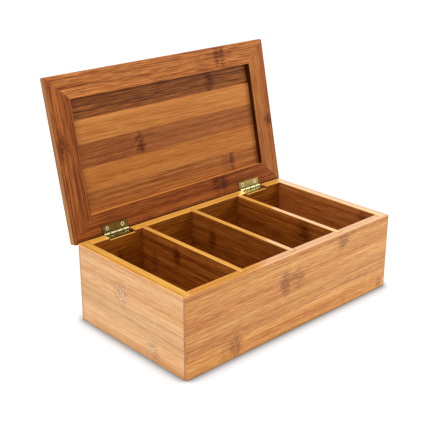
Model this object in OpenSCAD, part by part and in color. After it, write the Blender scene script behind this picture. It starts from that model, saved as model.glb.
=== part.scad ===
// Hinged bamboo tea bag box: four compartments under a framed, strip-panelled lid.
// The origin is the centre of the body's footprint, on the surface that it stands on.
// +X runs along the front from left to right, +Y from the front to the hinges, +Z up.

/* [Body] */
// Outside length of the body along its front
body_l = 300; // [260:1:400]
// Outside depth of the body from front to back
body_d = 168; // [120:1:240]
// Height of the walls
body_h = 86; // [60:0.5:140]
// Thickness of the four walls
wall_t = 11; // [9:0.5:16]
// Thickness of the lip of the front and back walls that covers the end of a side wall
lip_t = 3; // [2.5:0.1:4]
// Radius of the upright corners of the body and the lid
corner_r = 2; // [0.5:0.1:2.4]

/* [Bottom] */
// Thickness of the bottom panel
bottom_t = 5; // [4:0.5:9]
// How far the bottom panel reaches under each wall, in its rabbet
bottom_lap = 5; // [3:0.5:6]
// Clearance between the edge of the bottom panel and its rabbet
bottom_fit = 0.1; // [0.05:0.05:0.3]

/* [Dividers] */
// Number of compartments, with a divider between each two
compartments = 4; // [2:1:6]
// Thickness of a divider
divider_t = 6; // [4:0.5:9]
// How far each end of a divider is housed in the front or back wall
divider_lap = 5; // [3:0.5:6]
// Clearance on each side and at each end of a divider in its housing
divider_fit = 0.1; // [0.05:0.05:0.3]

/* [Lid] */
// Thickness of the lid
lid_t = 8.5; // [8:0.5:14]
// How far the lid overhangs each end of the body
lid_over_end = 2.6; // [1:0.1:6]
// How far the lid overhangs the front of the body
lid_over_front = 2.2; // [1:0.1:6]
// How far the lid overhangs the back of the body
lid_over_back = 2.4; // [2:0.1:4]
// Gap between the rim and the underside of the closed lid
lid_gap = 0.2; // [0.1:0.05:0.5]
// Radius of the arris around the lid's outer face
lid_edge_r = 2; // [0.5:0.1:3]
// Width of the mitred rails that frame the lid
rail_w = 26; // [20:0.5:36]
// Angle by which the lid stands open, where the hinges stop it
lid_open = 102.2; // [90:0.1:110]

/* [Lid panel] */
// Number of edge-glued strips in the panel
strips = 5; // [3:1:8]
// Thickness of the strips
panel_t = 2.5; // [2:0.1:5]
// How far the panel reaches over each rail, in its rabbet
panel_lap = 3; // [2:0.1:6]
// Clearance between the edge of the panel and its rabbet
panel_fit = 0.2; // [0.05:0.05:0.5]

/* [Hinges] */
// Length of a hinge along its pin
hinge_l = 32; // [26:1:40]
// Distance from an end of the body to the middle of its hinge
hinge_inset = 50; // [30:1:70]
// Width of a hinge leaf from the pin's axis to its free edge
leaf_w = 9.6; // [8.5:0.1:10.5]
// Thickness of the sheet of a hinge leaf
leaf_t = 1.1; // [0.9:0.1:1.3]
// Number of knuckles in a hinge, which belong to its two leaves in turn
knuckles = 4; // [3:1:5]
// Gap between two knuckles
knuckle_gap = 1; // [0.3:0.1:1.2]
// Diameter of the hinge pin
pin_d = 1.2; // [1:0.1:1.4]
// Radial clearance of the pin in the knuckles
pin_fit = 0.05; // [0.02:0.01:0.08]
// Thickness of the peened head at each end of the pin
pin_head = 0.4; // [0.2:0.1:0.5]
// Distance of the pin's axis behind the back wall
axis_back = 1.1; // [0.8:0.1:1.3]
// Distance of the pin's axis below the rim
axis_drop = 0.7; // [0.5:0.1:0.9]
// Clearance around the barrel and the leaves in the wood
hinge_fit = 0.3; // [0.2:0.05:0.5]

/* [Screws] */
// Distance between the two screws of a leaf
screw_pitch = 20; // [14:0.5:22]
// Distance of the screws from the pin's axis
screw_row = 6; // [5:0.1:6.5]
// Diameter of the shank
screw_d = 2.4; // [1.8:0.1:2.8]
// Diameter of the countersunk head
head_d = 4.4; // [3.6:0.1:4.6]
// Length from the head's face to the point
screw_l = 7; // [5:0.5:8]
// Length of the point
point_l = 2; // [1:0.5:3]
// Width of the arms of the cross recess
cross_w = 0.7; // [0.4:0.1:0.9]
// Length of the arms of the cross recess from tip to tip
cross_l = 2.4; // [1.8:0.1:2.8]
// Depth of the cross recess
cross_depth = 0.6; // [0.3:0.1:0.8]
// Radial clearance of a screw in its leaf and in the wood
screw_fit = 0.05; // [0.02:0.01:0.1]

/* [Hidden] */
$fn = 64;
// Overshoot of a cutting solid past the face that it opens
over = 1;
bamboo = "#d8a46c";
bamboo_light = "#d9a25f";
bamboo_dark = "#9c5f32";
yellow_zinc = "#b8a45c";
steel = "#8d8a80";

// Body
inner_l = body_l - 2 * wall_t;
inner_d = body_d - 2 * wall_t;
side_d = body_d - 2 * lip_t;
cell_l = (inner_l - (compartments - 1) * divider_t) / compartments;
divider_pitch = cell_l + divider_t;
divider_d = inner_d + 2 * divider_lap;

// Hinges
barrel_r = pin_d / 2 + pin_fit + leaf_t;
axis_y = body_d / 2 + axis_back;
axis_z = body_h - axis_drop;
knuckle_l = (hinge_l - (knuckles - 1) * knuckle_gap) / knuckles;
notch_l = hinge_l + 2 * (pin_head + hinge_fit);
notch_depth = barrel_r + axis_drop;
countersink = (head_d - screw_d) / 2;

// Lid, as it lies when it is closed
lid_l = body_l + 2 * lid_over_end;
lid_d = body_d + lid_over_front + lid_over_back;
lid_front = -body_d / 2 - lid_over_front;
lid_back = body_d / 2 + lid_over_back;
lid_mid = (lid_front + lid_back) / 2;
lid_z = body_h + lid_gap;
panel_l = lid_l - 2 * (rail_w - panel_lap + panel_fit);
panel_d = lid_d - 2 * (rail_w - panel_lap + panel_fit);
strip_d = panel_d / strips;

divider_names = [for (i = [1 : compartments - 1]) str("divider_", i)];
strip_names = [for (i = [1 : strips]) str("lid_panel_strip_", i)];

// A block standing on z = 0 with round upright corners
module rounded_block(l, d, h) {
    linear_extrude(h) {
        square([l - 2 * corner_r, d], center = true);
        square([l, d - 2 * corner_r], center = true);
        for (x = [-1, 1], y = [-1, 1])
            translate([x * (l / 2 - corner_r), y * (d / 2 - corner_r)]) circle(corner_r);
    }
}

// ---------- Body ----------

// The bottom panel's block, grown at its edges by fit, and downwards to cut its rabbet
module bottom_block(fit = 0, below = 0) {
    l = inner_l + 2 * (bottom_lap + fit);
    d = inner_d + 2 * (bottom_lap + fit);
    translate([-l / 2, -d / 2, -below]) cube([l, d, bottom_t + below]);
}

// The block of divider i, counted from the left, grown at its sides and ends by fit,
// and upwards to cut its housings
module divider_block(i, fit = 0, above = 0) {
    x = -inner_l / 2 + i * divider_pitch - divider_t;
    translate([x - fit, -divider_d / 2 - fit, bottom_t])
        cube([divider_t + 2 * fit, divider_d + 2 * fit, body_h - bottom_t + above]);
}

// The rabbet at the left end of the front wall, which the left wall's end fills
module corner_rabbet() {
    translate([-body_l / 2 - over, -body_d / 2 + lip_t, -over])
        cube([over + wall_t, wall_t, body_h + 2 * over]);
}

// The front wall: its ends are rabbeted for the side walls, its foot for the bottom,
// and its inner face is grooved for the dividers
module long_wall() {
    difference() {
        intersection() {
            translate([-body_l / 2, -body_d / 2, 0]) cube([body_l, wall_t, body_h]);
            rounded_block(body_l, body_d, body_h);
        }
        corner_rabbet();
        mirror([1, 0, 0]) corner_rabbet();
        bottom_block(bottom_fit, over);
        for (i = [1 : compartments - 1]) divider_block(i, divider_fit, over);
    }
}

// The left wall, which fits between the lips of the front and back walls
module short_wall() {
    difference() {
        translate([-body_l / 2, -side_d / 2, 0]) cube([wall_t, side_d, body_h]);
        bottom_block(bottom_fit, over);
    }
}

module front_wall() {
    color(bamboo) long_wall();
}

// The back wall is a front wall turned round, with a notch in its rim for each hinge
module back_wall() {
    color(bamboo) difference() {
        rotate(180) long_wall();
        at_hinges() {
            hinge_notch();
            translate([0, 0, -barrel_r + leaf_t]) screw_pair(screw_fit);
        }
    }
}

module left_wall() {
    color(bamboo) short_wall();
}

module right_wall() {
    color(bamboo) mirror([1, 0, 0]) short_wall();
}

module bottom_panel() {
    color(bamboo) bottom_block();
}

module divider(i) {
    color(bamboo_light) divider_block(i);
}

// ---------- Screws ----------

// A countersunk wood screw with its face on z = 0 and its point down, grown by fit.
// A grown one is a hole: it is plain, and open above its face.
module screw(fit = 0) {
    difference() {
        union() {
            translate([0, 0, -countersink])
                cylinder(d1 = screw_d + 2 * fit, d2 = head_d + 2 * fit, h = countersink);
            translate([0, 0, -screw_l + point_l])
                cylinder(d = screw_d + 2 * fit, h = screw_l - point_l);
            translate([0, 0, -screw_l - fit])
                cylinder(d1 = 2 * fit, d2 = screw_d + 2 * fit, h = point_l + fit);
            if (fit > 0) cylinder(d = head_d + 2 * fit, h = barrel_r);
        }
        if (fit == 0)
            for (turn = [0, 90])
                rotate(turn) translate([-cross_l / 2, -cross_w / 2, -cross_depth])
                    cube([cross_l, cross_w, cross_depth + over]);
    }
}

// The two screws of a leaf, placed from the pin's axis
module screw_pair(fit = 0) {
    for (side = [-1, 1])
        translate([side * screw_pitch / 2, -screw_row, 0]) screw(fit);
}

// ---------- Hinges ----------
// A hinge is drawn about the middle of its pin, with the box leaf pointing to the front
// and lying in its notch. The lid leaf of a closed lid is its mirror image.

// Places a hinge part at one hinge: side is -1 for the left one and 1 for the right
module at_hinge(side) {
    translate([side * (body_l / 2 - hinge_inset), axis_y, axis_z]) children();
}

module at_hinges() {
    for (side = [-1, 1]) at_hinge(side) children();
}

// The notch across the rim of the back wall, which holds both leaves of a closed hinge
module hinge_notch() {
    translate([-notch_l / 2, -axis_back - wall_t - over, -barrel_r])
        cube([notch_l, wall_t + 2 * over, notch_depth + over]);
}

// One knuckle, with the strip of sheet that joins it to its leaf
module knuckle(i) {
    translate([-hinge_l / 2 + i * (knuckle_l + knuckle_gap), 0, 0]) {
        rotate([0, 90, 0]) cylinder(r = barrel_r, h = knuckle_l);
        translate([0, -barrel_r - hinge_fit, -barrel_r])
            cube([knuckle_l, barrel_r + hinge_fit, leaf_t]);
    }
}

// A leaf whose knuckles are every second one, starting with number first
module leaf(first) {
    plate_d = leaf_w - barrel_r - hinge_fit;
    difference() {
        union() {
            translate([-hinge_l / 2, -leaf_w, -barrel_r]) cube([hinge_l, plate_d, leaf_t]);
            for (i = [first : 2 : knuckles - 1]) knuckle(i);
        }
        translate([-hinge_l / 2 - over, 0, 0])
            rotate([0, 90, 0]) cylinder(d = pin_d + 2 * pin_fit, h = hinge_l + 2 * over);
        translate([0, 0, -barrel_r + leaf_t]) screw_pair(screw_fit);
    }
}

module hinge_box_leaf(side) {
    color(yellow_zinc) at_hinge(side) leaf(0);
}

module hinge_lid_leaf(side) {
    color(yellow_zinc) on_lid() at_hinge(side) mirror([0, 0, 1]) leaf(1);
}

// The pin, with a peened head past the knuckles at each end
module hinge_pin(side) {
    shank_l = hinge_l + 2 * pin_fit;
    color(steel) at_hinge(side) rotate([0, 90, 0]) {
        cylinder(d = pin_d, h = shank_l, center = true);
        for (end = [-1, 1])
            translate([0, 0, end * (shank_l + pin_head) / 2])
                cylinder(r = barrel_r - leaf_t / 2, h = pin_head, center = true);
    }
}

module box_hinge_screws() {
    color(yellow_zinc) at_hinges() translate([0, 0, -barrel_r + leaf_t]) screw_pair();
}

module lid_hinge_screws() {
    color(yellow_zinc) on_lid() at_hinges() lid_screw_place() screw_pair();
}

// ---------- Lid ----------
// The lid's parts are drawn as they lie when it is closed, and swung open about the pins

module on_lid() {
    translate([0, axis_y, axis_z]) rotate([-lid_open, 0, 0])
        translate([0, -axis_y, -axis_z]) children();
}

// Turns a pair of screws over, to point up into the lid from the face of the lid leaf
module lid_screw_place() {
    mirror([0, 0, 1]) translate([0, 0, -barrel_r + leaf_t]) children();
}

// The panel's block, grown at its edges by fit, and upwards to cut its rabbet
module panel_block(fit = 0, above = 0) {
    l = panel_l + 2 * fit;
    d = panel_d + 2 * fit;
    translate([-l / 2, lid_mid - d / 2, lid_z + lid_t - panel_t])
        cube([l, d, panel_t + above]);
}

// The lid's whole outline as one plate, with the arris of its outer face rounded
module lid_plate() {
    intersection() {
        translate([0, lid_mid, lid_z]) rounded_block(lid_l, lid_d, lid_t);
        translate([-lid_l / 2, 0, 0]) rotate([90, 0, 90])
            linear_extrude(lid_l) eased_section(lid_front, lid_back);
        translate([0, lid_back, 0]) rotate([90, 0, 0])
            linear_extrude(lid_d) eased_section(-lid_l / 2, lid_l / 2);
    }
}

// The lid's section from one edge to the other, with its two outer arrises rounded
module eased_section(from, to) {
    top = lid_z + lid_t;
    translate([from, lid_z]) square([to - from, lid_t - lid_edge_r]);
    translate([from + lid_edge_r, lid_z]) square([to - from - 2 * lid_edge_r, lid_t]);
    for (x = [from + lid_edge_r, to - lid_edge_r])
        translate([x, top - lid_edge_r]) circle(lid_edge_r);
}

// The ground plan of one rail, along the -Y edge of a frame of this length: mitred ends
module mitred_plan(length) {
    polygon([
        [-length / 2 - over, -over], [length / 2 + over, -over],
        [length / 2 - rail_w, rail_w], [-length / 2 + rail_w, rail_w]
    ]);
}

// One mitred rail, cut out of the lid's plate: turn brings its edge to the front
module lid_rail(turn) {
    length = turn % 180 == 0 ? lid_l : lid_d;
    depth = turn % 180 == 0 ? lid_d : lid_l;
    difference() {
        intersection() {
            lid_plate();
            translate([0, lid_mid, lid_z]) rotate(turn) translate([0, -depth / 2, 0])
                linear_extrude(lid_t) mitred_plan(length);
        }
        panel_block(panel_fit, over);
    }
}

module lid_front_rail() {
    color(bamboo_light) on_lid() lid_rail(0);
}

module lid_right_rail() {
    color(bamboo_light) on_lid() lid_rail(90);
}

module lid_left_rail() {
    color(bamboo_light) on_lid() lid_rail(270);
}

// The back rail has a shallow bed for each lid leaf, cut deeper where the barrel turns
module lid_back_rail() {
    color(bamboo_light) on_lid() difference() {
        lid_rail(180);
        at_hinges() {
            translate([-notch_l / 2, -leaf_w - hinge_fit, 0])
                cube([notch_l, leaf_w + hinge_fit + lid_over_back, barrel_r]);
            translate([-notch_l / 2, -barrel_r - hinge_fit, 0])
                cube([notch_l, barrel_r + hinge_fit + lid_over_back, barrel_r + hinge_fit]);
            lid_screw_place() screw_pair(screw_fit);
        }
    }
}

// Strip i of the panel, counted from the lid's front edge; dark and light ones take turns
module lid_panel_strip(i) {
    color(i % 2 == 1 ? bamboo_dark : bamboo_light) on_lid() intersection() {
        panel_block();
        translate([-panel_l / 2, lid_mid - panel_d / 2 + (i - 1) * strip_d, lid_z])
            cube([panel_l, strip_d, lid_t]);
    }
}

front_wall();
back_wall();
left_wall();
right_wall();
bottom_panel();
for (i = [1 : compartments - 1])
    divider(i);
lid_front_rail();
lid_back_rail();
lid_left_rail();
lid_right_rail();
for (i = [1 : strips])
    lid_panel_strip(i);
hinge_box_leaf(-1);  // left_hinge_box_leaf
hinge_lid_leaf(-1);  // left_hinge_lid_leaf
hinge_pin(-1);  // left_hinge_pin
hinge_box_leaf(1);  // right_hinge_box_leaf
hinge_lid_leaf(1);  // right_hinge_lid_leaf
hinge_pin(1);  // right_hinge_pin
box_hinge_screws();
lid_hinge_screws();
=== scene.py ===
import bpy
import bmesh
from math import radians
from mathutils import Matrix, Vector


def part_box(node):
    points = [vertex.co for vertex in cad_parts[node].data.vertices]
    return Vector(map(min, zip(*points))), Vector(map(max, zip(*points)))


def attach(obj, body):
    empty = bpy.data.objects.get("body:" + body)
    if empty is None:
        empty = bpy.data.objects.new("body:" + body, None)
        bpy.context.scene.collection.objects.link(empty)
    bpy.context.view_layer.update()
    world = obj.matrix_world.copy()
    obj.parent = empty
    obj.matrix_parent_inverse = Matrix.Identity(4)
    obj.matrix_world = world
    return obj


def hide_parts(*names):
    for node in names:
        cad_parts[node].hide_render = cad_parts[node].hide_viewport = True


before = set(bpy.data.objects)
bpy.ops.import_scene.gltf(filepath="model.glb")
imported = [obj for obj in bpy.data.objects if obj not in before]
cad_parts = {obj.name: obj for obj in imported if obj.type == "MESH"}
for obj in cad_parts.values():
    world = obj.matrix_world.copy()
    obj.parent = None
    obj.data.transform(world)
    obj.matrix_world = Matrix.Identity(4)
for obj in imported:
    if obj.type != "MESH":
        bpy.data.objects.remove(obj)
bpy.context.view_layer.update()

# ---------- Front and back walls ----------
# Two boards of flat-pressed bamboo, laid up from split culm strips and varnished outside.
# Their ends are rabbeted for the side walls, which leaves a thin lip of end grain at each
# corner; their feet and inner faces are grooved for the bottom and the dividers.

MM = 0.001
X, Y, Z = Vector((1, 0, 0)), Vector((0, 1, 0)), Vector((0, 0, 1))
HALF_L, HALF_D, HEIGHT = 150, 84, 86    # of the body outside, mm
INSIDE_X, GROOVE_Y = 139, 78            # ends of the inside, floors of the grooves, mm
NOTCH = 2.45                            # depth of the hinge notches, mm
NEAR = 1                                # a face this near to a plane counts as in it, mm
FRONT, BACK, RIM = -HALF_D * Y, HALF_D * Y, HEIGHT * Z


def linear(code):
    """The linear colour of an sRGB hex code."""
    parts = [int(code[i:i + 2], 16) / 255 for i in (1, 3, 5)]
    return [c / 12.92 if c <= 0.04045 else ((c + 0.055) / 1.055) ** 2.4 for c in parts] + [1]


def add(tree, kind, inputs=None, **settings):
    """Adds one node with its settings. Each input is a value, a socket that feeds it, or
    a node whose first output does."""
    made = tree.nodes.new("ShaderNode" + kind)
    for key, value in settings.items():
        setattr(made, key, value)
    for key, value in (inputs or {}).items():
        if isinstance(value, bpy.types.Node):
            value = value.outputs[0]
        if isinstance(value, bpy.types.NodeSocket):
            tree.links.new(value, made.inputs[key])
        else:
            made.inputs[key].default_value = value
    return made


def empty_material(name):
    """A new material, its node tree and its shader."""
    material = bpy.data.materials.new(name)
    material.use_nodes = True
    return material, material.node_tree, material.node_tree.nodes["Principled BSDF"]


def bamboo(name, tones, origin, grain, across, marks=(), *, seed, roughness, specular,
           coat=0.0, coat_roughness=0.2, coat_ior=1.5, streak=1.7, banding=0.2, stroke=22,
           dash=0.35, strip_w=22, strip_shift=0, seam=0.25, core=None, patch=0.75,
           dark_dash=0.8, pale_dash=0.0, fleck_tone="#ffd9a8", crevice=0.0):
    """Laminated bamboo: long straight fibres, short dark vascular bundles, strips of
    slightly different tone, and the rough cross-grain marks of the culm's nodes.

    Lengths are in mm, on a board that starts at origin, with u along its grain and v
    across it. tones are the dark, middle and pale fibres, and streak is the contrast
    between them. banding is the share of broad bands, stroke the length of the shortest
    fibres and dash the depth of the bundles. strip_w and strip_shift lay out the glued
    strips, and seam is how dark their glue line is. core is (v, half width, depth) of the
    darker ply that shows on a rim. marks are (u, v, half length, half height, strength) of
    the nodes; patch, dark_dash and pale_dash are how strongly their stain, their dark
    dashes and their flecks of fleck_tone show. crevice is how strongly painted shade
    darkens corners and crevices."""
    material, tree, shader = empty_material(name)

    # Board coordinates in mm: u along the grain, v across the face, w through the board
    turn = Matrix((grain, across, grain.cross(across))).transposed().to_euler()
    place = add(tree, "TexCoord").outputs["Object"]
    board_mm = add(tree, "Mapping", {"Vector": place, "Location": origin * MM,
                                     "Rotation": turn, "Scale": (MM, MM, MM)},
                   vector_type="TEXTURE")
    board_parts = add(tree, "SeparateXYZ", {0: board_mm})
    fibre_place = board_mm

    # The nodes of the culm: an oval for each mark, ragged every 3 to 5 mm, and a wider one
    # in which the fibres swerve
    if marks:
        oval = swerve = 0.0
        ragged = add(tree, "VectorMath", {
            0: board_mm, 1: (0.20, 0.30, 0.1), 2: (seed, 0, 0)
        }, operation="MULTIPLY_ADD")
        ragged = add(tree, "TexNoise", {"Vector": ragged, "Scale": 1.0, "Detail": 2.0})
        for u, v, half_u, half_v, strength in marks:
            local = add(tree, "VectorMath", {
                0: board_mm, 1: (1 / half_u, 1 / half_v, 0), 2: (-u / half_u, -v / half_v, 0)
            }, operation="MULTIPLY_ADD")
            reach = add(tree, "VectorMath", {0: local}, operation="LENGTH")
            reach = add(tree, "Math", {0: ragged, 1: 1.2, 2: reach.outputs["Value"]},
                        operation="MULTIPLY_ADD")
            near = add(tree, "MapRange", {"Value": reach, "From Min": 1.9, "From Max": 0.9,
                                          "To Min": 0.0, "To Max": strength},
                       interpolation_type="SMOOTHSTEP")
            wide = add(tree, "MapRange", {"Value": reach, "From Min": 3.0, "From Max": 1.2,
                                          "To Min": 0.0, "To Max": strength},
                       interpolation_type="SMOOTHSTEP")
            oval = add(tree, "Math", {0: oval, 1: near}, operation="MAXIMUM")
            swerve = add(tree, "Math", {0: swerve, 1: wide}, operation="MAXIMUM")
        # The fibres go up to 1.25 mm to either side of their line, every 7 to 11 mm
        sway = add(tree, "VectorMath", {0: board_mm, 1: (0.09, 0.14, 0.1)},
                   operation="MULTIPLY")
        sway = add(tree, "TexNoise", {"Vector": sway, "Scale": 1.0, "Detail": 1.0})
        sway = add(tree, "Math", {0: sway, 1: 0.5}, operation="SUBTRACT")
        sway = add(tree, "Math", {0: sway, 1: swerve}, operation="MULTIPLY")
        fibre_place = add(tree, "VectorMath", {0: sway, 1: (0, 2.5, 0), 2: board_mm},
                          operation="MULTIPLY_ADD")

    def fibres(along, over, offset, place=fibre_place, detail=1.0):
        """Noise drawn out along the grain: along and over are its lengths in mm."""
        spot = add(tree, "VectorMath", {
            0: place, 1: (1 / along, 1 / over, 1 / over),
            2: (seed + offset, seed * 1.7 + offset, seed * 2.3)
        }, operation="MULTIPLY_ADD")
        return add(tree, "TexNoise", {"Vector": spot, "Scale": 1.0, "Detail": detail,
                                      "Roughness": 0.6})

    # Bands of fibres, single fibres drawn a little coarser than life so that they show,
    # and the short strokes between them, mixed around 0.5
    single_share, stroke_share = 0.45, 0.4
    mixed = 0.0
    for along, over, offset, share in ((300, 7.0, 3.1, banding),
                                       (110, 0.65, 11.7, single_share),
                                       (stroke, 0.5, 23.9, stroke_share)):
        mixed = add(tree, "Math", {0: fibres(along, over, offset), 1: share, 2: mixed},
                    operation="MULTIPLY_ADD")
    mean = (banding + single_share + stroke_share) / 2
    mixed = add(tree, "Math", {0: mixed, 1: streak, 2: 0.5 - mean * streak},
                operation="MULTIPLY_ADD")
    if core:
        core_v, half_width, depth = core
        off = add(tree, "Math", {0: board_parts.outputs["Y"], 1: core_v},
                  operation="SUBTRACT")
        off = add(tree, "Math", {0: off}, operation="ABSOLUTE")
        within = add(tree, "MapRange", {"Value": off, "From Min": half_width + 0.7,
                                        "From Max": half_width - 0.7, "To Min": 0.0,
                                        "To Max": depth})
        mixed = add(tree, "Math", {0: mixed, 1: within}, operation="SUBTRACT")
    ramp = add(tree, "ValToRGB", {"Fac": mixed})
    stops = ramp.color_ramp.elements
    stops[0].position, stops[1].position = 0.30, 0.70
    stops.new(0.5)
    for stop, tone in zip(stops, tones):
        stop.color = linear(tone)

    # Each strip and each 5.6 mm ply of the lay-up is up to 7.5% darker or paler than the
    # mean, with a hair-thin glue line between two strips
    row = add(tree, "Math", {0: board_parts.outputs["Y"], 1: 1 / strip_w,
                             2: strip_shift / strip_w + 50}, operation="MULTIPLY_ADD")
    ply = add(tree, "Math", {0: board_parts.outputs["Z"], 1: 1 / 5.6, 2: 20.3},
              operation="MULTIPLY_ADD")
    which = add(tree, "CombineXYZ", {"X": add(tree, "Math", {0: row}, operation="FLOOR"),
                                     "Y": add(tree, "Math", {0: ply}, operation="FLOOR"),
                                     "Z": seed})
    value = add(tree, "TexWhiteNoise", {"Vector": which}).outputs["Value"]
    value = add(tree, "Math", {0: value, 1: 0.15, 2: 0.925}, operation="MULTIPLY_ADD")
    edge = add(tree, "Math", {0: row, 1: 0.5}, operation="PINGPONG")
    line = add(tree, "MapRange", {"Value": edge, "From Min": 0.0, "From Max": 0.35 / strip_w,
                                  "To Min": 1.0 - seam, "To Max": 1.0})
    value = add(tree, "Math", {0: value, 1: line}, operation="MULTIPLY")
    colour = add(tree, "Mix", {0: 1.0, 6: ramp, 7: value}, data_type="RGBA",
                 blend_type="MULTIPLY").outputs[2]

    # Vascular bundles: short dark dashes along the grain, sunk a little into the face
    bundle = add(tree, "MapRange", {"Value": fibres(16, 0.7, 37.3), "From Min": 0.56,
                                    "From Max": 0.68, "To Min": 0.0, "To Max": dash})
    colour = add(tree, "Mix", {0: bundle, 6: colour, 7: linear(tones[0])},
                 data_type="RGBA").outputs[2]
    relief = add(tree, "Math", {0: bundle, 1: -0.4, 2: mixed}, operation="MULTIPLY_ADD")

    # At a node the wood is browner, and the bundles bunch up in short dark dashes with a
    # few paler flecks between them
    if marks:
        stain = "#aa896f"
        cloud = fibres(8, 6, 71.0, board_mm, detail=2.0)
        for pattern, low, high, least, most, tone, blend in (
                (cloud, 0.35, 0.60, 0.35 * patch, patch, stain, "MULTIPLY"),
                (fibres(4.5, 0.8, 5.3, board_mm), 0.48, 0.60, 0.0, dark_dash, stain,
                 "MULTIPLY"),
                (fibres(2.0, 0.8, 29.0, board_mm), 0.57, 0.69, 0.0, pale_dash, fleck_tone,
                 "MIX")):
            shows = add(tree, "MapRange", {"Value": pattern, "From Min": low,
                                           "From Max": high, "To Min": least,
                                           "To Max": most})
            shows = add(tree, "Math", {0: shows, 1: oval}, operation="MULTIPLY")
            colour = add(tree, "Mix", {0: shows, 6: colour, 7: linear(tone)},
                         data_type="RGBA", blend_type=blend).outputs[2]

    # Painted shade: the colour darkens towards deep brown where ambient occlusion finds a
    # crevice a few millimetres wide
    if crevice:
        open_to = add(tree, "AmbientOcclusion", {"Distance": 4 * MM}, samples=16)
        crevice_shade = add(tree, "MapRange", {"Value": open_to.outputs["AO"], "From Min": 0.5,
                                       "From Max": 0.92, "To Min": crevice, "To Max": 0.0})
        colour = add(tree, "Mix", {0: crevice_shade, 6: colour, 7: linear("#1e0c04")},
                     data_type="RGBA").outputs[2]

    # The pale fibres stand a little proud of the dark ones, and take a better polish
    rough = add(tree, "MapRange", {"Value": mixed, "From Min": 0.3, "From Max": 0.7,
                                   "To Min": roughness + 0.06, "To Max": roughness - 0.04})
    bump = add(tree, "Bump", {"Height": relief, "Strength": 0.35, "Distance": 0.15 * MM})
    tree.links.new(colour, shader.inputs["Base Color"])
    tree.links.new(rough.outputs[0], shader.inputs["Roughness"])
    tree.links.new(bump.outputs[0], shader.inputs["Normal"])
    shader.inputs["Specular IOR Level"].default_value = specular
    shader.inputs["Coat Weight"].default_value = coat
    shader.inputs["Coat Roughness"].default_value = coat_roughness
    shader.inputs["Coat IOR"].default_value = coat_ior
    return material


def end_grain(name, dark, pale):
    """Bamboo cut across its fibres: dark bundle ends packed in a paler ground, which
    drinks the varnish and goes a deep red-brown."""
    material, tree, shader = empty_material(name)
    place = add(tree, "TexCoord").outputs["Object"]
    # Bundle ends about 0.7 mm across
    cells = add(tree, "TexVoronoi", {"Vector": place, "Scale": 1 / (0.7 * MM),
                                     "Randomness": 0.9})
    ramp = add(tree, "ValToRGB", {"Fac": cells})
    for stop, position, tone in zip(ramp.color_ramp.elements, (0.2, 0.75), (dark, pale)):
        stop.position = position
        stop.color = linear(tone)
    bump = add(tree, "Bump", {"Height": cells, "Strength": 0.3, "Distance": 0.1 * MM})
    tree.links.new(ramp.outputs["Color"], shader.inputs["Base Color"])
    tree.links.new(bump.outputs[0], shader.inputs["Normal"])
    shader.inputs["Roughness"].default_value = 0.5
    return material


def eased(node, name, body, materials, arris, pick=None):
    """A finished piece: the node's shape with its outer edges of over 30 degrees eased by
    arris mm. pick gives the number of a face's material from its middle and normal."""
    shape = bmesh.new()
    shape.from_mesh(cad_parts[node].data)
    # The node's loose triangles are joined into whole faces first
    bmesh.ops.remove_doubles(shape, verts=shape.verts, dist=2e-6)
    bmesh.ops.dissolve_limit(shape, angle_limit=radians(1.5), verts=shape.verts,
                             edges=shape.edges)
    shape.normal_update()
    for face in shape.faces:
        face.material_index = pick(face.calc_center_median(), face.normal) if pick else 0
    sharp = [edge for edge in shape.edges
             if edge.is_convex and edge.calc_face_angle(0) > radians(30)]
    bmesh.ops.bevel(shape, geom=sharp, offset=arris * MM, offset_type="OFFSET",
                    affect="EDGES", segments=3, profile=0.5, material=-1,
                    clamp_overlap=True)
    bmesh.ops.remove_doubles(shape, verts=shape.verts, dist=1e-6)
    for face in shape.faces:
        face.smooth = True
    mesh = bpy.data.meshes.new(name)
    shape.to_mesh(mesh)
    shape.free()
    mesh.set_sharp_from_angle(angle=radians(38))
    for material in materials:
        mesh.materials.append(material)
    piece = bpy.data.objects.new(name, mesh)
    bpy.context.scene.collection.objects.link(piece)
    # The eased arris must not tilt the shading of the flat face beside it
    level = piece.modifiers.new("flat_faces", "WEIGHTED_NORMAL")
    level.weight = 75
    level.keep_sharp = True
    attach(piece, body)
    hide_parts(node)


# Carbonised bamboo under a sprayed satin varnish gives a warm tan with a soft sheen. The
# rim is sanded flat and varnished again: paler, and glossy enough to mirror what is
# behind it at a low angle. The inside has oil only, and is darker and matt.
varnish = dict(roughness=0.4, specular=0.2, coat=0.35, coat_roughness=0.25, streak=1.3,
               stroke=12)
rim_varnish = dict(roughness=0.14, specular=0.9, coat=1.0, coat_roughness=0.14,
                   coat_ior=1.65, streak=1.0, dash=0.25)
oiled = dict(roughness=0.55, specular=0.12, streak=1.6)
outside = ("#944b0d", "#c17f37", "#dba55a")
inside = ("#5d2c08", "#99520d", "#c37322")

front_marks = [(-17, 58, 9, 14, 1.0), (2, 58, 10, 12, 0.7), (71, 77, 10, 9, 0.95),
               (-87, 13, 10, 13, 1.0), (-100, 14, 8, 8, 0.4), (138, 7, 5, 7, 0.7)]
back_marks = [(58, 30, 5, 12, 1.0), (66, 31, 4, 10, 0.8), (-40, 66, 5, 11, 0.9),
              (-118, 22, 5, 10, 0.8)]
front_finishes = [
    # Painted shade: the outside's crevice value darkens its foot and corners
    bamboo("front_bamboo_varnished", outside, FRONT, X, Z, front_marks, seed=1.0,
           patch=0.6, banding=0.3, crevice=0.35, **varnish),
    bamboo("front_bamboo_inside", inside, FRONT, X, Z, [(40, 40, 6, 12, 0.8)], seed=2.0,
           **oiled),
    end_grain("bamboo_end_grain", "#643420", "#bc845c"),
    # Painted shade: the front rim's tones are darker than the back rim's, for the stronger
    # light at the front
    bamboo("front_rim_varnished", ("#b56b24", "#dc9b43", "#e7b460"), RIM, X, Y,
           core=(-78, 1.7, 0.08), seed=8.0, **(rim_varnish | dict(coat=0.6))),
]
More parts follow.
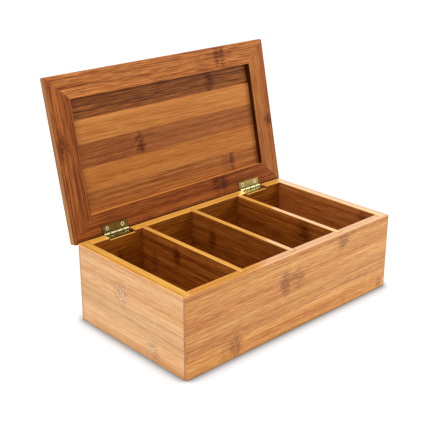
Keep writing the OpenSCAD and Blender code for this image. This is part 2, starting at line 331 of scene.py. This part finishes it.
back_finishes = [
    bamboo("back_bamboo_varnished", outside, BACK, X, Z, back_marks, seed=3.0, patch=0.6,
           banding=0.3, **varnish),
    bamboo("back_bamboo_inside", inside, BACK, X, Z, [(-105, 60, 6, 11, 0.8)], seed=4.0,
           **oiled),
    end_grain("bamboo_end_grain_sanded", "#a86c3c", "#dca870"),
    # Painted light: the back rim's tones are paler than the front rim's, to lift the shade
    # of the open lid
    bamboo("back_rim_varnished", ("#dc8e2c", "#ffbf50", "#ffd874"), RIM, X, Y,
           core=(78.5, 1.7, 0.06), seed=8.5, **rim_varnish),
]


def long_wall_face(middle, normal):
    """0 for the varnished faces, 1 for the inner face and its grooves, 2 for the end
    grain of the lips and 3 for the rim and the floors of the hinge notches."""
    middle = middle / MM
    if normal.z > 0.5 and middle.z > HEIGHT - NOTCH - NEAR:
        return 3
    if abs(middle.x) > HALF_L - NEAR and abs(normal.x) > 0.9:
        return 2
    inside_y, inside_x = abs(middle.y) < GROOVE_Y + NEAR, abs(middle.x) < INSIDE_X + NEAR
    return 1 if inside_y and inside_x else 0


for node, finishes in (("front_wall", front_finishes), ("back_wall", back_finishes)):
    eased(node, node + "_board", "box", finishes, 0.6, long_wall_face)

# ---------- Side walls ----------
# Two boards of the same bamboo with their fibres running from front to back. They stand
# between the lips of the front and back walls, glued into the rabbets.

# The varnish is the front's, over redder boards with pale flecks in their nodes
side_outside = ("#b57135", "#d39d63", "#e6bf8d")
side_inside = ("#753b14", "#bb6d2d", "#db904a")
side_rim = ("#ce8430", "#f4bb54", "#ffd876")
side_walls = {
    "left_wall": (-1, 0.1, [(13, 55, 10, 14, 1.0), (-35, 11, 10, 12, 0.85)]),
    "right_wall": (1, 0.2, [(-30, 60, 6, 12, 1.0), (38, 24, 6, 10, 0.9)]),
}


def side_wall_face(middle, normal):
    """0 for the varnished faces, 1 for the inner face and the foot, 2 for the rim."""
    if normal.z > 0.5 and middle.z / MM > HEIGHT - NEAR:
        return 2
    outward = normal.x if middle.x > 0 else -normal.x
    return 1 if outward < -0.5 or normal.z < -0.5 else 0


for node, (side, core_depth, marks) in side_walls.items():
    origin = side * HALF_L * X
    finishes = [
        bamboo(node + "_varnished", side_outside, origin, Y, Z, marks, seed=6.0 + side,
               fleck_tone="#fff0dc", dark_dash=0.5, pale_dash=0.8, patch=0.42,
               banding=0.25, **(varnish | dict(streak=1.05))),
        bamboo(node + "_inside", side_inside, origin, Y, Z, [(-56, 79, 8, 9, 0.8)],
               seed=16.0 + side, **oiled),
        bamboo(f"side_rim_{side}_varnished", side_rim, RIM, Y, X,
               core=(147.5 * side, 1.8, core_depth), seed=9.0 + side, **rim_varnish),
    ]
    eased(node, node + "_board", "box", finishes, 0.6, side_wall_face)

# ---------- Bottom ----------
# A thin bamboo panel glued up into the rabbet around the feet of the walls, flush with
# them underneath. It is oiled like the rest of the inside.

bottom = bamboo("bottom_bamboo_oiled", inside, Vector((0, 0, 0)), X, Y,
                [(-40, 20, 12, 10, 0.8), (95, -35, 12, 10, 0.8)], strip_w=24, seed=7.0,
                **oiled)
eased("bottom_panel", "bottom_panel_board", "box", [bottom], 0.3)

# ---------- Dividers ----------
# Three thin bamboo boards dropped into the grooves of the front and back walls, glued
# there, and sanded and varnished flush with the rim. Their faces are oiled.

divider_tones = ("#632c0b", "#a05715", "#c67a32")
divider_rim = bamboo("divider_rim_varnished", ("#c7842f", "#e8a849", "#f5c96a"), RIM, Y, X,
                     seed=9.5, **(rim_varnish | dict(coat=0.75)))
divider_marks = {1: [(17, 70, 6, 14, 1.0), (53, 50, 5, 16, 0.4)],
                 2: [(40, 62, 6, 14, 0.8)], 3: [(-31, 74, 12, 12, 0.9)]}


def divider_face(middle, normal):
    """0 for the oiled faces and 1 for the varnished top."""
    return 1 if normal.z > 0.5 else 0


for number, marks in divider_marks.items():
    node = f"divider_{number}"
    low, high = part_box(node)
    middle_x = (low.x + high.x) / 2 / MM
    faces = bamboo(node + "_oiled", divider_tones, middle_x * X, Y, Z, marks,
                   seed=20.0 + number, patch=0.9, dark_dash=0.95,
                   **(oiled | dict(streak=1.9)))
    eased(node, node + "_board", "box", [faces, divider_rim], 0.4,
          divider_face)

# ---------- Lid frame ----------
# Four mitred bamboo rails around a sunk panel. The fibres follow each rail, so they turn
# the corner at the mitres. The outer arris is rounded and the lid swings on two hinges.

LID_UP = Vector((0, 0.21132, 0.97742))        # from the hinges to the lid's front edge
LID_FOOT = Vector((0, 85.705, 83.839))        # middle of the inner face's hinge edge, mm
LID_OUT = Vector((0, 0.97742, -0.21132))      # out of the lid's outer face
RECESS_X, RECESS_LOW, RECESS_HIGH = 126.6, 26, 146.6    # its walls, from LID_FOOT, mm

# The inner face is oiled and matt, the outer face has a satin varnish, and the edges are
# only sanded. Of the walls of the recess the lowest is glossy, with its pale orange
# painted in as light from above, and the others are painted near black as shade.
lid_oiled = dict(roughness=0.5, specular=0.1, streak=1.3)
lid_satin = dict(roughness=0.5, specular=0.2, coat=0.08, coat_roughness=0.4, streak=1.3,
                 stroke=12)
# Painted light: the pale orange tones of the lowest recess wall stand in for light on it
recess_painted_light = bamboo("lid_recess_wall_painted_light", ("#ff9c34", "#ffb046", "#ffc458"), LID_FOOT,
                    X, LID_UP, seed=38.0, **rim_varnish)
# Painted shade: the near-black tones of the other recess walls stand in for their shade
recess_painted_shade = bamboo("lid_recess_walls_painted_shade", ("#281206", "#3e1c0a", "#563014"), LID_FOOT,
                     LID_UP, -X, seed=39.0, **lid_oiled)
edge_tones = ("#7c4418", "#a87040", "#c49260")
# Painted light and shade: the rails' tones differ from rail to rail to suit the light on
# each, and the back rail's crevice value paints shade in the crack above the rim
rails = {
    "lid_front_rail": (X, LID_UP, ("#682e0c", "#a65f2a", "#cc8644"), 2.3, 0.0,
                       recess_painted_shade, [(77.5, 163, 5, 14, 1.0), (85.5, 162, 5, 13, 1.0)]),
    "lid_back_rail": (X, LID_UP, ("#4c2008", "#8a4416", "#b06628"), 1.6, 0.9,
                      recess_painted_light, [(50, 17.5, 8, 14, 1.0), (61, 17.5, 7, 13, 1.0)]),
    "lid_left_rail": (LID_UP, -X, ("#562309", "#964e1e", "#be7434"), 1.6, 0.0,
                      recess_painted_shade, [(102, 146, 20, 8, 1.0), (122, 148, 20, 6, 0.4)]),
    "lid_right_rail": (LID_UP, -X, ("#6a2e0e", "#9e5824", "#b87c3e"), 1.6, 0.0,
                       recess_painted_shade, [(76, -146, 8, 9, 1.0)]),
}


def rail_face(middle, normal):
    """0 for the rail's inner face, 1 for its outer face, 2 for the recess and 3 for the
    rail's edges."""
    outward = normal.dot(LID_OUT)
    if abs(outward) > 0.5:
        return 0 if outward < 0 else 1
    middle = middle / MM
    above = (middle - LID_FOOT).dot(LID_UP)
    in_height = RECESS_LOW - NEAR < above < RECESS_HIGH + NEAR
    return 2 if in_height and abs(middle.x) < RECESS_X + NEAR else 3


for number, (node, rail) in enumerate(rails.items()):
    grain, across, tones, streak, crevice, recess, marks = rail
    finishes = [
        bamboo(node + "_oiled", tones, LID_FOOT, grain, across, marks, strip_w=26,
               seed=40.0 + number, crevice=crevice, **(lid_oiled | dict(streak=streak))),
        bamboo(node + "_varnished", outside, LID_FOOT, grain, across, marks, strip_w=26,
               seed=45.0 + number, **lid_satin),
        recess,
        bamboo(node + "_edge_sanded", edge_tones, LID_FOOT, grain, LID_OUT,
               seed=48.0 + number, **lid_oiled),
    ]
    eased(node, node + "_board", "lid", finishes, 0.25, rail_face)

# ---------- Lid panel ----------
# Five bamboo strips, steamed dark and natural pale in turn, glued edge to edge into one
# thin panel that is let into a rabbet from the outside. They are finished like the rails.

# Painted shade: strip 1's crevice value darkens it under the front rail
strips = {
    1: ("bamboo_dark_strip", ("#40200c", "#824418", "#a06028"), 2.0, 0.8,
        [(66, 137, 8, 20, 1.0)]),
    2: ("bamboo_light_strip", ("#94521a", "#bb7434", "#ce9050"), 1.2, 0.0, []),
    3: ("bamboo_dark_strip", ("#663010", "#965424", "#b4703a"), 1.2, 0.0,
        [(-45, 84, 8, 15, 1.0), (-78, 84, 34, 14, 0.35)]),
    4: ("bamboo_light_strip", ("#8c4816", "#b87030", "#d08e4a"), 1.2, 0.0, []),
    5: ("bamboo_dark_strip", ("#703410", "#985622", "#b87a3c"), 1.4, 0.0,
        [(84, 39, 5, 14, 1.0), (75, 38, 9, 12, 0.45)]),
}


def strip_face(middle, normal):
    """1 for the varnished outer face of a strip and 0 for the rest."""
    return 1 if normal.dot(LID_OUT) > 0.5 else 0


for number, (slot, tones, streak, crevice, marks) in strips.items():
    node = f"lid_panel_strip_{number}"
    whole = dict(strip_w=90, strip_shift=-30, seam=0.0, seed=50.0 + number)
    finishes = [
        bamboo(node + "_oiled", tones, LID_FOOT, X, LID_UP, marks, crevice=crevice,
               **(lid_oiled | whole | dict(streak=streak))),
        bamboo(node + "_varnished", tones, LID_FOOT, X, LID_UP, marks,
               **(lid_satin | whole)),
    ]
    eased(node, node + "_board", "lid", finishes, 0.15, strip_face)

# ---------- Hinge leaves ----------
# Two butt hinges in stamped steel sheet, zinc plated and yellow passivated: the thin
# chromate film gives the metal its brassy yellow with green and rose patches.

PIN = Vector((0, 85.1, 85.3))           # on the hinges' axis, mm
KNUCKLE, LEAF_EDGE = 2.0, 9.4           # just past a knuckle, just short of the edge, mm


def passivated(name, yellow, green, rose, roughness):
    """Yellow-passivated zinc on steel. The film's thickness drifts over some millimetres
    and takes the colour from straw through green to rose. Painted shade, from ambient
    occlusion within 1.6 mm, darkens the corners and the gaps."""
    material, tree, shader = empty_material(name)
    place = add(tree, "TexCoord").outputs["Object"]
    film = add(tree, "TexNoise", {"Vector": place, "Scale": 1 / (5 * MM), "Detail": 2.0,
                                  "Distortion": 0.6})
    ramp = add(tree, "ValToRGB", {"Fac": film})
    stops = ramp.color_ramp.elements
    stops[0].position, stops[1].position = 0.34, 0.66
    stops.new(0.5)
    for stop, tone in zip(stops, (green, yellow, rose)):
        stop.color = linear(tone)
    # Painted shade: near black in corners and gaps that ambient occlusion finds within 1.6
    # mm
    open_to = add(tree, "AmbientOcclusion", {"Distance": 1.6 * MM}, samples=16)
    painted_gap_shade = add(tree, "MapRange", {"Value": open_to.outputs["AO"], "From Min": 0.45,
                                   "From Max": 0.85, "To Min": 1.0, "To Max": 0.0})
    colour = add(tree, "Mix", {0: painted_gap_shade, 6: ramp, 7: linear("#140e08")}, data_type="RGBA")
    # Rolling marks of the sheet, 0.4 mm apart
    rolled = add(tree, "VectorMath", {0: place, 1: (60, 2500, 2500)}, operation="MULTIPLY")
    rolled = add(tree, "TexNoise", {"Vector": rolled, "Scale": 1.0})
    rough = add(tree, "MapRange", {"Value": rolled, "To Min": roughness - 0.08,
                                   "To Max": roughness + 0.12})
    bump = add(tree, "Bump", {"Height": rolled, "Strength": 0.15, "Distance": 0.05 * MM})
    tree.links.new(colour.outputs[2], shader.inputs["Base Color"])
    tree.links.new(rough.outputs[0], shader.inputs["Roughness"])
    tree.links.new(bump.outputs[0], shader.inputs["Normal"])
    shader.inputs["Metallic"].default_value = 1.0
    return material


# The right hinge's plating is painted brighter and brassier than the left one's, to match
# how the light falls on each. The film has worn off the knuckles, which shine paler. The
# sheet's sheared edges are dull, and painted nearly black as the shade in the gaps
# around each leaf.
plates = {
    "left": passivated("zinc_passivated_olive", "#86682a", "#5c6a34", "#7c5428", 0.3),
    "right": passivated("zinc_passivated_straw", "#b09648", "#7c9c6e", "#a27e5a", 0.3),
}
barrel = passivated("zinc_worn_barrel", "#cdbc88", "#b2b684", "#c8ae84", 0.3)
# Painted shade: the near-black sheared edges stand in for the shade around each leaf
edge_shade = passivated("zinc_sheared_edge_painted_shade", "#3c3220", "#303424", "#3e2e20", 0.5)


def leaf_face(middle, normal):
    """0 for the flat of a leaf, 1 for its knuckles and 2 for its sheared edges."""
    if abs(normal.x) > 0.9:
        return 2
    from_pin = (middle / MM - PIN).yz.length
    return 1 if from_pin < KNUCKLE else 2 if from_pin > LEAF_EDGE else 0


for side in ("left", "right"):
    for body in ("box", "lid"):
        node = f"{side}_hinge_{body}_leaf"
        eased(node, node + "_plate", body,
              [plates[side], barrel, edge_shade], 0.2, leaf_face)

# ---------- Hinge pins ----------
# A steel wire pin through the knuckles of each hinge, peened over at both ends. Its
# dark tone is painted shade in the gaps between the knuckles.

# Painted shade: the pin's dark tones stand in for the shade in the knuckle gaps
pin_metal = passivated("pin_steel_painted_shade", "#4a4030", "#3c3a2c", "#4e3c30", 0.4)
for side in ("left", "right"):
    node = f"{side}_hinge_pin"
    eased(node, node + "_wire", "box", [pin_metal], 0.12)

# ---------- Screws ----------
# Countersunk cross-recess wood screws, two to a leaf, passivated like the hinges. Their
# heads catch the light as a bright ring around the cross recess, painted near black as
# shade.

screw_metal = passivated("screw_zinc_passivated", "#fff0bc", "#e8e6b4", "#f4dcae", 0.25)
# Painted shade: the cross recess is near black as the shade in the hollow
recess_metal = passivated("screw_recess_painted_shade", "#1c160c", "#16160e", "#1e140c", 0.6)
HINGE_X, HALF_PITCH, SCREW_ROW = 100, 10, 6     # a screw's place from PIN, mm
CROSS, CROSS_TOP, CROSS_FLOOR = 1.3, 0.7, 1.3   # the recess's reach and depths, mm


def screw_face(middle, normal):
    """1 for the walls and floor of a cross recess, 0 for the rest of a screw."""
    spot = middle / MM - PIN
    up, inward = (LID_UP, LID_OUT) if spot.z > 2 else (-Y, -Z)
    from_screw = Vector((abs(abs(spot.x) - HINGE_X) - HALF_PITCH, spot.dot(up) - SCREW_ROW))
    in_depth = CROSS_TOP < spot.dot(inward) < CROSS_FLOOR
    return 1 if in_depth and from_screw.length < CROSS else 0


for body in ("box", "lid"):
    node = f"{body}_hinge_screws"
    eased(node, node + "_set", body, [screw_metal, recess_metal], 0.06,
          screw_face)

# ---------- Table and light ----------
# A white table that glows a little from below, under a soft overhead light and
# window-like lights from the left and the right, in a white room. To the eye the table
# and the room are white; the box's shadow on the table is partly cast by the lamps and
# partly painted in from ambient occlusion.

table_mesh = bpy.data.meshes.new("table")
table_shape = bmesh.new()
bmesh.ops.create_grid(table_shape, x_segments=1, y_segments=1, size=6)
bmesh.ops.translate(table_shape, vec=(0, 0, -0.05 * MM), verts=table_shape.verts)
table_shape.to_mesh(table_mesh)
table_shape.free()
table = bpy.data.objects.new("table", table_mesh)
bpy.context.scene.collection.objects.link(table)


def seen_directly(tree):
    """1 for what the eye, a mirror or glass sees, and 0 for light on its way."""
    path = add(tree, "LightPath").outputs
    mirrored = add(tree, "Math", {0: path["Is Camera Ray"], 1: path["Is Glossy Ray"]},
                   operation="MAXIMUM")
    return add(tree, "Math", {0: mirrored, 1: path["Is Transmission Ray"]},
               operation="MAXIMUM")


white = bpy.data.materials.new("table_white_laminate")
white.use_nodes = True
tree = white.node_tree
tree.nodes.remove(tree.nodes["Principled BSDF"])
bounce = add(tree, "AddShader", {0: add(tree, "BsdfDiffuse", {"Color": linear("#f8f8f8")}),
                                 1: add(tree, "Emission", {"Strength": 0.3})})
# Where the box stands its shadow, painted in from ambient occlusion, has a thin dark
# core and a soft edge
core = add(tree, "AmbientOcclusion", {"Distance": 8 * MM}, samples=24)
near = add(tree, "AmbientOcclusion", {"Distance": 22 * MM}, samples=24)
near = add(tree, "Gamma", {"Color": near, "Gamma": 1.4})
near = add(tree, "Mix", {0: 1.0, 6: near, 7: core}, data_type="RGBA",
           blend_type="MULTIPLY").outputs[2]
dimmed = add(tree, "Mix", {0: 1.0, 6: core, 7: linear("#a2a4a6")}, data_type="RGBA",
             blend_type="MULTIPLY").outputs[2]
shown = add(tree, "AddShader", {0: add(tree, "BsdfDiffuse", {"Color": dimmed}),
                                1: add(tree, "Emission", {"Color": near, "Strength": 0.8})})
both = add(tree, "MixShader", {0: seen_directly(tree), 1: bounce, 2: shown})
tree.links.new(both.outputs[0], tree.nodes["Material Output"].inputs["Surface"])
table_mesh.materials.append(white)

world = bpy.data.worlds.new("white_room")
bpy.context.scene.world = world
world.use_nodes = True
tree = world.node_tree
ambient = tree.nodes["Background"]
ambient.inputs["Color"].default_value = linear("#ffffff")
ambient.inputs["Strength"].default_value = 0.6
room = add(tree, "Background", {"Color": linear("#ffffff"), "Strength": 1.0})
both = add(tree, "MixShader", {0: seen_directly(tree), 1: ambient, 2: room})
tree.links.new(both.outputs[0], tree.nodes["World Output"].inputs["Surface"])


def softbox(name, place, aim, size, power):
    """A square area light at place, turned to aim: metres and watts."""
    lamp = bpy.data.lights.new(name, "AREA")
    lamp.shape = "SQUARE"
    lamp.size = size
    lamp.energy = power
    holder = bpy.data.objects.new(name, lamp)
    holder.location = place
    holder.rotation_euler = (Vector(aim) - Vector(place)).to_track_quat("-Z", "Y").to_euler()
    bpy.context.scene.collection.objects.link(holder)


softbox("overhead", (-0.2, 0.1, 1.4), (0, 0, 0.1), 1.2, 13)
softbox("left_window", (-1.5, -0.6, 0.3), (0, 0, 0.08), 0.9, 4)
softbox("right_window", (0.8, -0.6, 0.6), (0, 0, 0.12), 0.6, 4.5)

# ---------- Camera ----------
# A long lens about a metre away and well above the box, looking down on its front left
# corner, so that the four compartments and the inside of the lid are both in view.

lens = bpy.data.cameras.new("camera")
lens.sensor_width = 36
lens.lens = 74.2
camera = bpy.data.objects.new("camera", lens)
camera.location = (-0.61264, -0.62208, 0.44907)
camera.rotation_euler = (radians(68.306), 0, radians(-42.833))
bpy.context.scene.collection.objects.link(camera)
bpy.context.scene.camera = camera
bpy.context.scene.view_settings.view_transform = "Standard"
